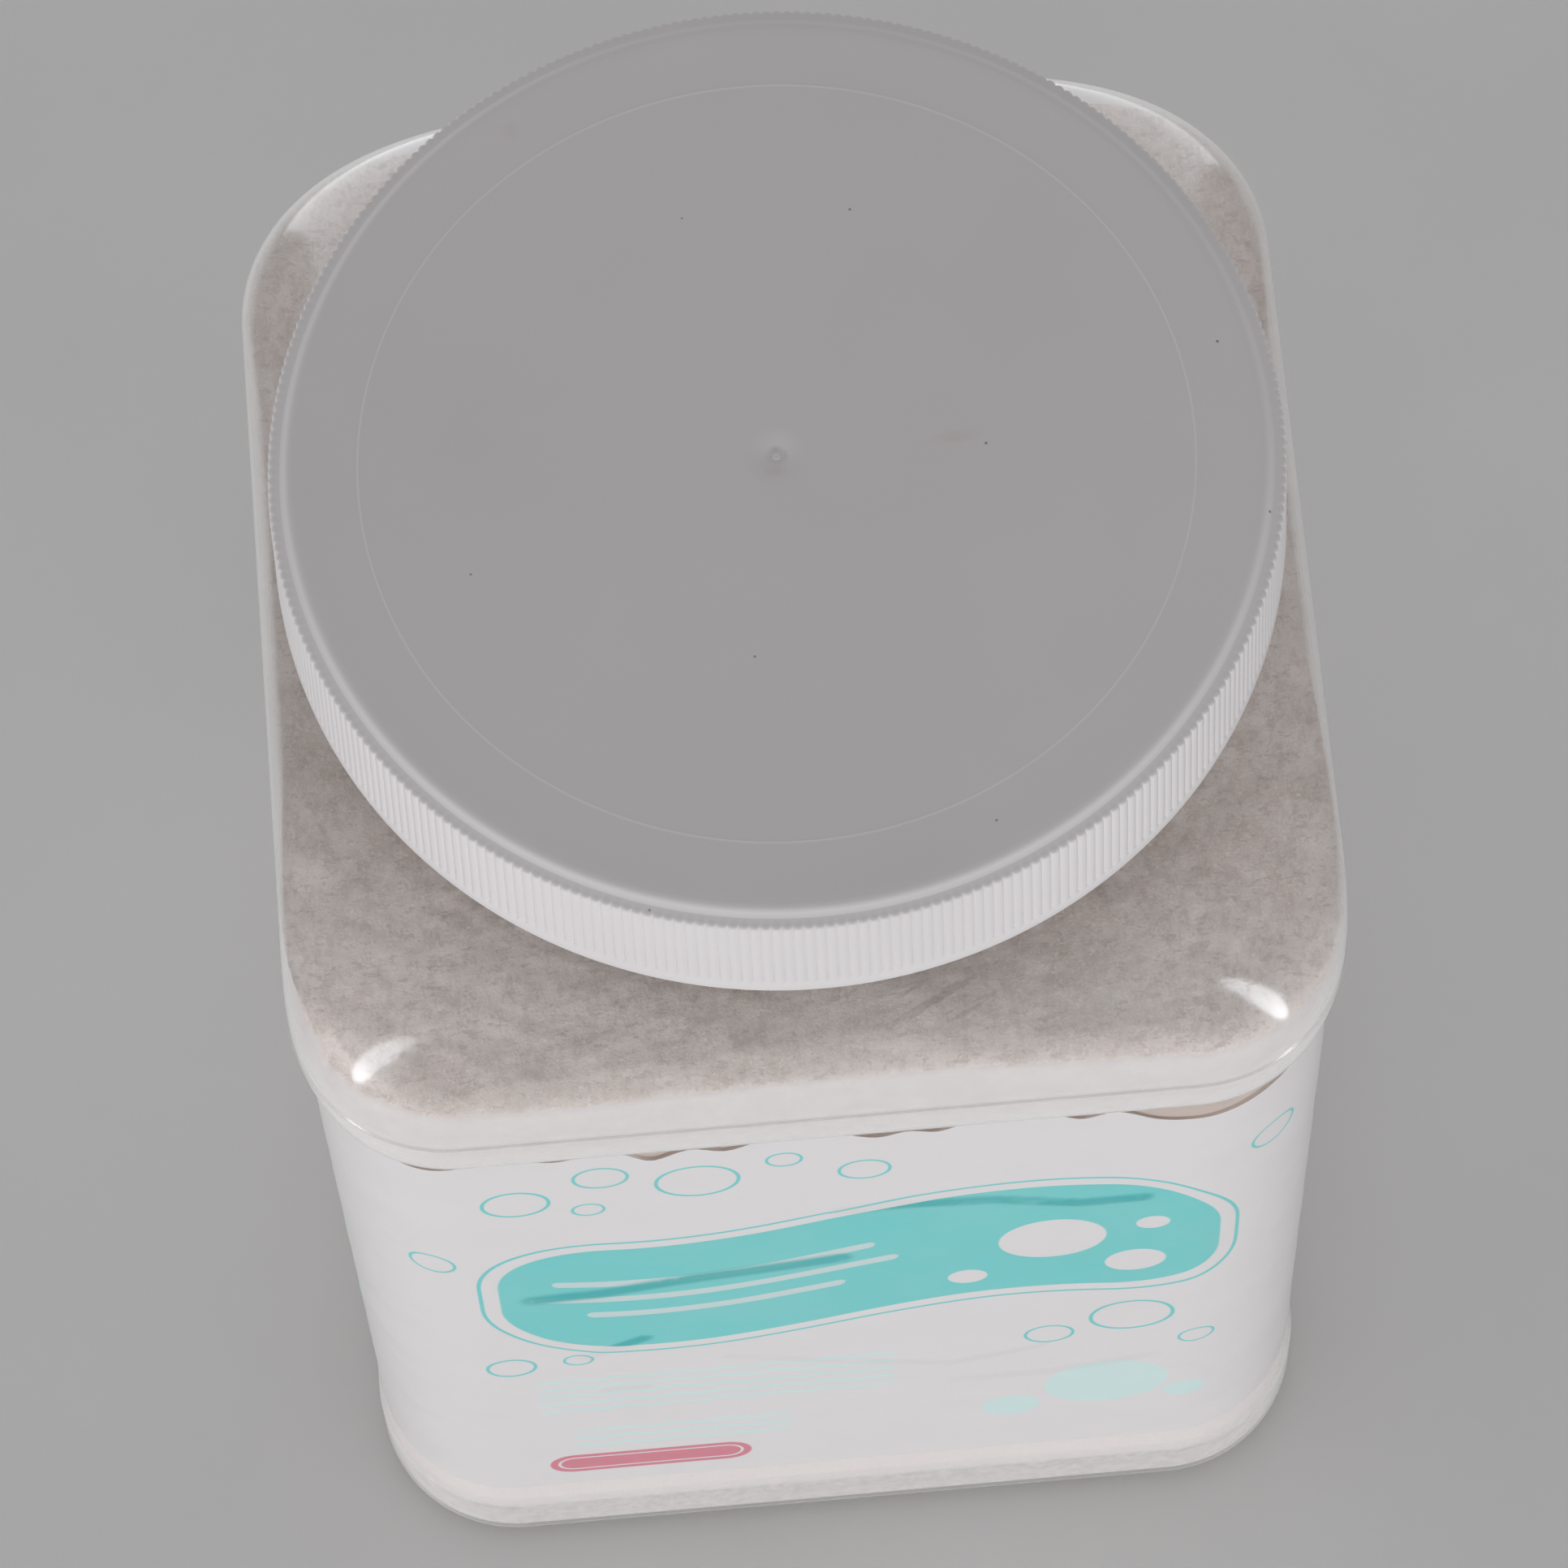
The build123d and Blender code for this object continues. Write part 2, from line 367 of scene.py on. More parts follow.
def new_mesh(name, points, faces, smooth_angle):
    """Object from points and faces, smooth apart from its sharp edges."""
    mesh = bpy.data.meshes.new(name)
    mesh.from_pydata(points, [], faces)
    mesh.polygons.foreach_set("use_smooth", np.ones(len(mesh.polygons), dtype=bool))
    mesh.set_sharp_from_angle(angle=math.radians(smooth_angle))
    mesh.update()
    made = bpy.data.objects.new(name, mesh)
    bpy.context.scene.collection.objects.link(made)
    return made


def band_faces(row_count, column_count, first=0, closed_rows=False):
    """Faces between rows of points, each row closed round the axis."""
    rows = np.arange(row_count if closed_rows else row_count - 1)
    columns = np.arange(column_count)
    row, column = np.meshgrid(rows, columns, indexing="ij")
    after = (column + 1) % column_count
    above = (row + 1) % row_count
    corners = [
        row * column_count + column,
        row * column_count + after,
        above * column_count + after,
        above * column_count + column,
    ]
    return (np.stack(corners, axis=-1).reshape(-1, 4) + first).tolist()


def revolved_solid(name, rows, smooth_angle=40):
    """Closed form from rows of points, each a ring round the axis, with a fan at both ends."""
    row_count, column_count = len(rows), len(rows[0])
    points = np.concatenate(rows)
    faces = band_faces(row_count, column_count)
    first_middle, last_middle = len(points), len(points) + 1
    middles = [rows[0].mean(axis=0), rows[-1].mean(axis=0)]
    last_row = (row_count - 1) * column_count
    for column in range(column_count):
        after = (column + 1) % column_count
        faces.append((first_middle, after, column))
        faces.append((last_row + column, last_row + after, last_middle))
    return new_mesh(name, np.concatenate([points, middles]), faces, smooth_angle)


def directions(count, crowding):
    """Angles round the axis, crowded towards the corners of a rounded square."""
    turn = np.linspace(0, 2 * math.pi, count, endpoint=False)
    return turn + crowding / 4 * np.sin(4 * turn)


def circle(angle, radius, height):
    """Points round the axis, one in each direction."""
    heights = np.broadcast_to(height, angle.shape)
    return np.stack([radius * np.cos(angle), radius * np.sin(angle), heights], axis=1)


def rounded_square(angle, half, corner, height):
    """Points of a rounded square, one in each direction."""
    across, along = np.abs(np.cos(angle)), np.abs(np.sin(angle))
    straight = half / np.maximum(across, along)
    centre = half - corner
    middle = centre * (across + along)
    curved = middle + np.sqrt(np.maximum(middle ** 2 - 2 * centre ** 2 + corner ** 2, 0))
    reach = np.where(np.minimum(across, along) * straight <= centre, straight, curved)
    return circle(angle, reach, height)


def body_ring(angle, inset):
    """Points of the jar's widest outline, moved inwards, at the foot's height."""
    return rounded_square(angle, jar_half - inset, corner_radius - inset, 0)


def dome_outline(share, inset):
    """Half width, corner radius and height of the shoulder at a share of its rise."""
    level = share ** shoulder_fullness_share
    inward = 1 - (1 - level) ** (1 / shoulder_fullness_share)
    half = jar_half - inset - inward * (jar_half - neck_root_radius)
    corner = corner_radius - inset + inward * (neck_root_radius - corner_radius)
    return half, corner, widest_line + share * (shoulder_rise - inset)


def body_profile(inset, floor, with_line):
    """Half width, corner radius and height up the jar's body, from its foot to the widest line."""
    rows = []
    radius = foot_radius - inset
    foot_steps = 8
    for step in range(foot_steps + 1):
        turn = math.pi / 2 * step / foot_steps
        drawn_in = base_inset + inset + radius * (1 - math.sin(turn))
        rows.append((drawn_in, floor + radius * (1 - math.cos(turn))))
    rows += [
        (base_inset + inset, ramp_foot - panel_edge),
        (base_inset + inset + 0.2 * panel_edge, ramp_foot + panel_edge),
        (panel_inset + inset - 0.2 * panel_edge, panel_foot - panel_edge),
        (panel_inset + inset, panel_foot + panel_edge),
    ]
    panel_top = lip_foot - lip_ramp_height
    panel_steps = 12
    for step in range(1, panel_steps):
        rows.append((panel_inset + inset, panel_foot + (panel_top - panel_foot) * step / panel_steps))
    rows += [
        (panel_inset + inset, panel_top),
        (lip_inset + inset + lip_corner, lip_foot - lip_corner / 2),
        (lip_inset + inset, lip_foot + lip_blend),
    ]
    lip_steps = 8
    line_foot = widest_line - parting_line_height / 2
    for step in range(1, lip_steps + 1):
        share = step / lip_steps
        rows.append((inset + lip_inset * (1 - share) ** 2, lip_foot + (line_foot - lip_foot) * share))
    if with_line:
        for out, up in ((0.8, 0.12), (1, 0.35), (1, 0.65), (0.8, 0.88)):
            rows.append((inset - parting_line_stand * out, line_foot + parting_line_height * up))
    return [(jar_half - drawn_in, corner_radius - drawn_in, height) for drawn_in, height in rows]


def jar_rings(angle, inset, floor, with_line):
    """Rings up the jar's body and shoulder, from its foot to the neck's root."""
    rows = [rounded_square(angle, *row) for row in body_profile(inset, floor, with_line)]
    dome_steps = 40
    first_share = 0.015
    for step in range(dome_steps + 1):
        share = first_share + (1 - first_share) * math.sin(math.pi / 2 * step / dome_steps)
        rows.append(rounded_square(angle, *dome_outline(min(share, 1), inset)))
    return rows


def make_jar():
    """Clear jar: outside, rim, inside and push-up as one closed wall."""
    angle = directions(400, 0.6)
    hump_half = push_up_half - push_up_slope_run
    edge = push_up_edge
    grown = floor_wall
    outside = jar_rings(angle, 0, 0, True)
    inside = jar_rings(angle, wall, floor_wall, False)
    under = [
        rounded_square(angle, hump_half - edge, push_up_radius - edge, push_up_height),
        rounded_square(angle, hump_half + edge, push_up_radius, push_up_height - edge / 2),
        rounded_square(angle, push_up_half - edge, push_up_radius, edge / 2),
        rounded_square(angle, push_up_half + edge, push_up_radius + edge, 0),
    ]
    over = [
        rounded_square(angle, push_up_half + grown + edge, push_up_radius + grown, grown),
        rounded_square(angle, push_up_half + grown - edge, push_up_radius + grown, grown + edge / 2),
        rounded_square(angle, hump_half + grown, push_up_radius, push_up_height + grown),
    ]
    bore = neck_radius - neck_wall
    neck = [
        circle(angle, neck_radius, neck_foot + neck_blend),
        circle(angle, neck_radius, rim - rim_edge * 1.6),
        circle(angle, neck_radius - rim_edge * 0.3, rim - rim_edge * 0.3),
        circle(angle, neck_radius - rim_edge, rim),
        circle(angle, bore + rim_edge, rim),
        circle(angle, bore, rim - rim_edge),
        circle(angle, bore, neck_foot - wall),
    ]
    jar = revolved_solid("clear_jar", under + outside + neck + inside[::-1] + over, 50)
    thread = make_thread("neck_thread", neck_radius, 1, neck_thread_foot)
    return jar, thread


def make_thread(name, wall_radius, outward, first_height):
    """Ridge of one screw thread, sunk a little into its wall and faded at both ends."""
    steps_per_turn = 96
    steps = round(thread_turns * steps_per_turn)
    turn = thread_turns * np.arange(steps + 1) / steps
    fade = np.minimum(1, np.minimum(turn, thread_turns - turn) / thread_fade_turns)
    stand = thread_depth * np.maximum(thread_end_share, np.sin(fade * math.pi / 2))
    angle = 2 * math.pi * turn
    middle = first_height + thread_pitch * turn
    flat = np.zeros_like(turn)
    profile = [
        (flat - thread_sink, -thread_root_half),
        (flat, -thread_root_half * 0.95),
        (stand - thread_edge, -thread_crest_half * 1.2),
        (stand, -thread_crest_half * 0.8),
        (stand, thread_crest_half * 0.8),
        (stand - thread_edge, thread_crest_half * 1.2),
        (flat, thread_root_half * 0.95),
        (flat - thread_sink, thread_root_half),
    ]
    lines = [circle(angle, wall_radius + outward * stand, middle + rise) for stand, rise in profile]
    points = np.stack(lines, axis=1).reshape(-1, 3)
    sides = len(profile)
    faces = [(a, d, c, b) if outward > 0 else (b, c, d, a) for a, b, c, d in band_faces(steps + 1, sides)]
    first_cap = tuple(range(sides))
    last_cap = tuple(steps * sides + side for side in range(sides))
    faces += [first_cap, last_cap[::-1]] if outward > 0 else [first_cap[::-1], last_cap]
    return new_mesh(name, points, faces, 60)


def surface_tree(node):
    """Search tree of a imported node's mesh."""
    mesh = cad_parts[node].data
    points = [vertex.co.copy() for vertex in mesh.vertices]
    faces = [tuple(polygon.vertices) for polygon in mesh.polygons]
    return BVHTree.FromPolygons(points, faces)


def top_height(tree, x, y, otherwise):
    """Height of a node's top at a place, or another value where it has none."""
    hit = tree.ray_cast(Vector((x, y, cad_high.z + wall)), Vector((0, 0, -1)))[0]
    return hit.z if hit else otherwise


def wave_field(x, y, size, seed, waves=24):
    """Smooth random heights from -1 to 1 at places, from waves of about one size."""
    random = np.random.default_rng(seed)
    total = np.zeros_like(x)
    for _ in range(waves):
        heading, phase = random.uniform(0, 2 * math.pi, 2)
        length = size * random.uniform(0.7, 1.8)
        along = x * math.cos(heading) + y * math.sin(heading)
        total += np.sin(2 * math.pi * along / length + phase)
    return total / math.sqrt(waves)


def make_powder():
    """Powder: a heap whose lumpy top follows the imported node, with sides that follow the jar."""
    angle = directions(420, 0.5)
    tree = surface_tree("powder")
    level = powder_high.z - powder_open_drop
    within = 0.98
    dome_shares = np.linspace(0.01, 0.75, 60)
    rings = [rounded_square(angle, *dome_outline(share, powder_inset)) for share in dome_shares]
    edge = rings[0].copy()
    drops = powder_edge_drop * np.clip((-edge[:, 1] - drop_start) / drop_run, 0, 1)
    for column in range(len(angle)):
        for ring in rings:
            x, y, z = ring[column]
            if z < top_height(tree, within * x, within * y, level) - drops[column]:
                edge[column] = ring[column]
    rows = []
    top_steps = 120
    for step in range(top_steps, 0, -1):
        share = (step / top_steps) ** 0.7
        row = edge * share
        for column in range(len(angle)):
            x, y = edge[column, :2] * min(share, within)
            from_edge = (1 - share) * math.hypot(edge[column, 0], edge[column, 1]) / powder_edge_round
            climb = math.sqrt(1 - (1 - min(from_edge, 1)) ** 2)
            height = top_height(tree, x, y, edge[column, 2] + drops[column])
            row[column, 2] = edge[column, 2] + (height - edge[column, 2]) * climb
        rows.append(row)
    top = np.array(rows)
    x, y = top[..., 0], top[..., 1]
    lumps = 0.5 * wave_field(x, y, 16 * mm, 1) + 0.3 * wave_field(x, y, 6 * mm, 2)
    lumps += 0.2 * wave_field(x, y, 2.2 * mm, 3, 40)
    calm = np.linspace(0, 1, top_steps)[:, None] ** 0.5
    top[..., 2] += (lumps - 1.2) * lump_height * np.minimum(calm * 4, 1)
    sides = []
    for share in np.linspace(0.97, 0, 14):
        rise = (edge[:, 2] - widest_line) * share / (shoulder_rise - powder_inset)
        outline = dome_outline(np.clip(rise, 0.0001, 0.999), powder_inset)
        sides.append(rounded_square(angle, *outline))
    grown = powder_floor
    body = [rounded_square(angle, *row) for row in body_profile(powder_inset, grown, False)]
    hump_half = push_up_half - push_up_slope_run
    under = [
        rounded_square(angle, hump_half + grown, push_up_radius + grown, push_up_height + grown),
        rounded_square(angle, push_up_half + grown, push_up_radius + grown, grown),
    ]
    rows = under + body + sides[::-1] + list(top)
    return revolved_solid("powder_heap", rows, 80)


def rib_drop(angle):
    """How far a ribbed wall lies inside its ribs' crests, as arcs that meet in sharp grooves."""
    half_pitch = math.pi / rib_count * rib_radius
    arc = (half_pitch ** 2 + rib_depth ** 2) / (2 * rib_depth)
    turn = angle * rib_count / (2 * math.pi)
    from_crest = np.abs(turn - np.round(turn)) * 2 * half_pitch
    return arc - np.sqrt(arc ** 2 - from_crest ** 2)


def make_lid():
    """Screw lid: ribbed skirt, foot band, bevelled panel with a ring and a gate mark, bore, thread."""
    columns_per_rib = 6
    angle = np.linspace(0, 2 * math.pi, rib_count * columns_per_rib, endpoint=False)
    drop = rib_drop(angle)
    edge = lid_edge
    bevel_foot = lid_panel_radius + lid_panel_bevel
    rib_foot_radius = lid_radius - rib_foot_stand
    middle_radius = (rib_foot_radius + rib_radius) / 2
    # Each row has a radius, a height and the share of the ribs' depth that it takes
    skirt = [
        (gate_radius * 6, lid_under, 0),
        (lid_inner_radius - edge, lid_under, 0),
        (lid_inner_radius, lid_under - edge, 0),
        (lid_inner_radius, lid_foot + 3 * edge, 0),
        (lid_inner_radius + edge, lid_foot + edge, 0),
        (lid_inner_radius + 3 * edge, lid_foot, 0),
        (lid_radius - 2.2 * edge, lid_foot, 0),
        (lid_radius - 0.8 * edge, lid_foot + 0.4 * edge, 0),
        (lid_radius, lid_foot + 2 * edge, 0),
        (lid_radius, rib_foot - 2.5 * edge, 0),
        (lid_radius - 0.1 * edge, rib_foot, 0),
        (rib_foot_radius, rib_foot + 1.5 * edge, 0.15),
        (rib_foot_radius, rib_foot + 4 * edge, 1),
        (rib_foot_radius, rib_foot + 7 * edge, 0.6),
        (middle_radius, (rib_foot + rib_top) / 2, wall_rib_share),
        (rib_radius, rib_top - 5 * edge, wall_rib_share),
        (rib_radius - 0.1 * edge, rib_top - 2 * edge, 0.8),
        (rib_radius - 0.5 * edge, rib_top - 0.7 * edge, 1),
        (rib_radius - 1.6 * edge, rib_top, 1),
        (rib_radius - 4 * edge, rib_top + 0.04 * panel_rise, 0),
    ]
    # Each row has a radius and the share of the panel's rise that it has climbed
    bevel = [
        (bevel_foot + 0.3 * panel_round, 0.16),
        (bevel_foot, 0.22),
        (lid_panel_radius + 0.2 * panel_round, 0.65),
        (lid_panel_radius - 0.3 * panel_round, 0.85),
        (lid_panel_radius - panel_round, 0.96),
    ]
    # Each row has a radius and how far the panel has sunk there
    panel = [
        (lid_panel_radius - 2.2 * panel_round, 0),
        (lid_panel_radius - 4.8 * panel_round, 0.10 * mm),
        *((lid_ring_radius + step * lid_ring_half, ring_sag) for step in (6, 2, 1)),
        (lid_ring_radius, ring_sag - lid_ring_stand),
        *((lid_ring_radius - step * lid_ring_half, ring_sag) for step in (1, 2)),
        (lid_ring_radius - 14 * lid_ring_half, 0.17 * mm),
        (lid_ring_radius * 0.66, 0.20 * mm),
        (lid_ring_radius * 0.33, panel_sag),
        (gate_radius * 2.5, panel_sag),
    ]
    # Each row has shares of the gate mark's radius and of its depth
    gate = [(1, 0.16), (0.75, 0.92), (0.35, 1), (0.28, 0.32)]
    profile = skirt
    profile += [(radius, rib_top + share * panel_rise, 0) for radius, share in bevel]
    profile += [(radius, lid_top - sag, 0) for radius, sag in panel]
    for across, down in gate:
        profile.append((gate_radius * across, lid_top - panel_sag - down * gate_depth, 0))
    rows = [circle(angle, radius - drop * share, height) for radius, height, share in profile]
    lid = revolved_solid("screw_lid", rows, 50)
    thread = make_thread("lid_thread", lid_inner_radius, -1, neck_thread_foot - lid_thread_drop)
    return lid, thread


# Creases in the label's film, as pixels along each one, with a width and a depth
film_creases = (
    (((1035, 1492), (1120, 1484), (1230, 1478), (1330, 1482), (1409, 1475)), 1.5 * mm, 0.30 * mm),
    (((655, 1603), (740, 1594), (850, 1576), (950, 1562), (1035, 1550)), 1.7 * mm, 0.32 * mm),
    (((898, 1671), (1010, 1676), (1172, 1679), (1284, 1657)), 1.0 * mm, 0.20 * mm),
    (((722, 1673), (794, 1649)), 1.2 * mm, 0.18 * mm),
    (((745, 1714), (798, 1708)), 1.0 * mm, 0.14 * mm),
    (((1180, 1700), (1290, 1690), (1420, 1668)), 1.3 * mm, 0.10 * mm),
)


def crease_shares(across, height):
    """How deep in a crease each place of the front is, from 0 to 1, and the crease's depth there."""
    share = np.zeros_like(across)
    depth = np.zeros_like(across)
    for pixels, width, deep in film_creases:
        places = [pixel_on_front(pixel) for pixel in pixels]
        nearest = np.full_like(across, np.inf)
        for (x0, z0), (x1, z1) in zip(places, places[1:]):
            run = (x1 - x0) ** 2 + (z1 - z0) ** 2
            along = np.clip(((across - x0) * (x1 - x0) + (height - z0) * (z1 - z0)) / run, 0, 1)
            away = np.hypot(across - x0 - along * (x1 - x0), (height - z0 - along * (z1 - z0)))
            nearest = np.minimum(nearest, away)
        here = np.exp(-(nearest / width) ** 2)
        share = np.maximum(share, here)
        depth = np.maximum(depth, here * deep)
    return share, depth


def make_label():
    """Film label: a thin closed sheet with creases, soft waves, a lapped seam and a wavy upper edge."""
    angle = directions(560, 0.55)
    outer = body_ring(angle, label_outer_inset)
    inner = body_ring(angle, label_outer_inset + label_thickness)
    steps = np.linalg.norm(np.diff(np.concatenate([outer, outer[:1]]), axis=0), axis=1)
    front = np.argmin(np.abs(np.arctan2(outer[:, 0], -outer[:, 1])))
    run = np.concatenate([[0], np.cumsum(steps)[:-1]])
    across = run - run[front]
    across = np.where(across > steps.sum() / 2, across - steps.sum(), across)
    normal = outer - inner
    normal /= np.linalg.norm(normal, axis=1)[:, None]
    tree = surface_tree("label")
    middle = (outer + inner) / 2
    tops = np.array([top_height(tree, x, y, label_high.z) for x, y, _ in middle])
    on_seam = (outer[:, 1] > 0) & (np.abs(outer[:, 0] - label_seam_place) < label_seam_half)
    row_count = 120
    shares = np.linspace(0, 1, row_count)
    heights = label_low.z + shares[:, None] * (tops - label_low.z)[None, :]
    places = np.broadcast_to(across, heights.shape)
    on_front = (np.abs(outer[:, 0]) < jar_half) & (outer[:, 1] < -0.5 * jar_half)
    crease, depth = crease_shares(places, heights)
    crease, depth = crease * on_front, depth * on_front
    waves = wave_field(places * 0.45, heights, long_wave, 5) * 0.6
    waves += wave_field(places * 0.5, heights, short_wave, 6) * 0.4
    rise = wave_height * (waves - 0.6) + crease_rise_share * depth - film_sink
    edge_curl = np.exp(-((tops[None, :] - heights) / curl_reach) ** 2)
    rise = rise + edge_curl * curl_height * (0.5 + 0.5 * np.sin(places / curl_length))
    rise = np.clip(rise, film_low, film_high) + np.where(on_seam, label_thickness, 0)[None, :]
    outside = outer[None, :, :] + normal[None, :, :] * rise[..., None]
    outside[..., 2] = heights
    lower, upper = inner.copy(), inner.copy()
    lower[:, 2], upper[:, 2] = heights[0], heights[-1]
    hem = inner.copy()
    hem[:, 2] = heights[-1] - hem_height
    upper[:, :2] = body_ring(angle, hem_inset)[:, :2]
    rows = np.concatenate([outside, upper[None], hem[None], lower[None]])
    points = rows.reshape(-1, 3)
    label = new_mesh("film_label", points, band_faces(len(rows), len(angle), closed_rows=True), 50)
    print_place = np.zeros_like(rows)
    print_place[..., 0] = across
    print_place[..., 1] = rows[..., 2]
    spot = label.data.attributes.new("print_place", "FLOAT_VECTOR", "POINT")
    spot.data.foreach_set("vector", print_place.astype(np.float32).ravel())
    folds = np.zeros(rows.shape[:2])
    folds[:row_count] = crease
    fold = label.data.attributes.new("crease", "FLOAT", "POINT")
    fold.data.foreach_set("value", folds.astype(np.float32).ravel())
    return label


# Jar's ripples and haze
ripple_size = 14 * mm
ripple_depth = 0.5 * mm
fine_ripple_size = 0.9 * mm
fine_ripple_depth = 0.05 * mm
haze_size = 20 * mm
blur_rise = 3 * mm

# Level lines on the jar, painted highlights (gleam) and painted shade: height, half width and soft edge
moulding_gleam = (widest_line + 0.25 * mm, 0.1 * mm, 0.4 * mm)
moulding_shade = (widest_line - 0.35 * mm, 0.1 * mm, 0.3 * mm)
lip_shade = (lip_foot - 0.15 * mm, 0.15 * mm, 0.45 * mm)
ridge_gleam = (ramp_foot + 0.4 * mm, 0.3 * mm, 1.4 * mm)


def jar_material():
    """Clear blown plastic: see-through, glossy and hazy towards its edges, with faint ripples, painted
    highlight lines over the moulding line and on the foot's ridge, and painted shade lines under the
    moulding line and at the lip's foot.
    """
    paint = Paint("clear_plastic", base_color=(0.86, 0.86, 0.85, 1), roughness=0.3)
    height = paint.upward(paint.place)
    normal = paint.bump(paint.noise(ripple_size, 2.0), 0.25, ripple_depth)
    normal = paint.bump(paint.noise(fine_ripple_size, 2.0), 0.05, fine_ripple_depth, normal)
    paint.feed(paint.surface.inputs["Normal"], normal)

    # Painted shade: the see-through is darkened on a line under the moulding line and on one at the lip's
    # foot
    under_line = paint.level_line(height, moulding_shade, 0, 1)
    unshaded = paint.times(under_line, paint.level_line(height, lip_shade, 0, 1))
    tint = paint.mix(unshaded, (0.78, 0.765, 0.755, 1), (0.99, 0.985, 0.985, 1))
    clear = paint.node("ShaderNodeBsdfTransparent", Color=tint)
    blur = paint.spread(height, widest_line, widest_line + blur_rise, 0.22, 0.13)
    gloss = paint.node("ShaderNodeBsdfGlossy", Color=(1, 1, 1, 1), Roughness=blur, Normal=normal)
    behind = paint.node("ShaderNodeNewGeometry").outputs["Backfacing"]
    bend = paint.spread(behind, 0, 1, 1.5, 1.0)
    edge = paint.node("ShaderNodeFresnel", IOR=bend, Normal=normal)

    haze_and_gleam_lines = paint.spread(paint.noise(haze_size, 4.0), 0.3, 0.7, 0.02, 0.06)
    # Painted highlights: whitish lines just over the moulding line and on the foot's ridge, added to the
    # haze
    haze_and_gleam_lines = paint.math("ADD", haze_and_gleam_lines, paint.level_line(height, moulding_gleam, 0.14))
    haze_and_gleam_lines = paint.math("ADD", haze_and_gleam_lines, paint.level_line(height, ridge_gleam, 0.15))
    edge_on = paint.node("ShaderNodeLayerWeight", Blend=0.5).outputs["Facing"]
    haze_and_gleam_lines = paint.math("ADD", haze_and_gleam_lines, paint.spread(edge_on, 0.67, 0.86, 0, 0.32))
    both = paint.blend(edge.outputs[0], clear.outputs[0], gloss.outputs[0])
    whole = paint.blend(haze_and_gleam_lines, both, paint.surface.outputs[0])
    paint.feed(paint.output.inputs["Surface"], whole)
    return paint.material


# Powder's mottle
cloud_size = 24 * mm
clump_size = 4 * mm
clump_depth = 0.8 * mm
streak_size = 1.6 * mm
flake_size = 1.1 * mm
grain_size = 0.45 * mm
grain_depth = 0.15 * mm
dark_grain = (0.62, 0.545, 0.49, 1)
light_grain = (0.99, 0.95, 0.93, 1)

# A pale lump and a patch of dark hair-like streaks in the powder, each at a pixel
pale_lump_pixel = (592, 1262)
lump_ragged = 6 * mm
lump_reach = 9 * mm
lump_core = 7 * mm
hair_streak_pixel = (1165, 1212)
hair_size = 1.5 * mm
hair_reach = 7 * mm
hair_core = 3 * mm
hair_turn = math.radians(-24)

# Bands of the powder's sides: painted tan shade under the lip, painted paler light on the ramp, painted
# darker mottled shade at the foot
under_lip_shade_height = 9 * mm
under_lip_shade_edge = 1 * mm
ramp_band_edge = 2 * mm
foot_band_edge = 0.6 * mm


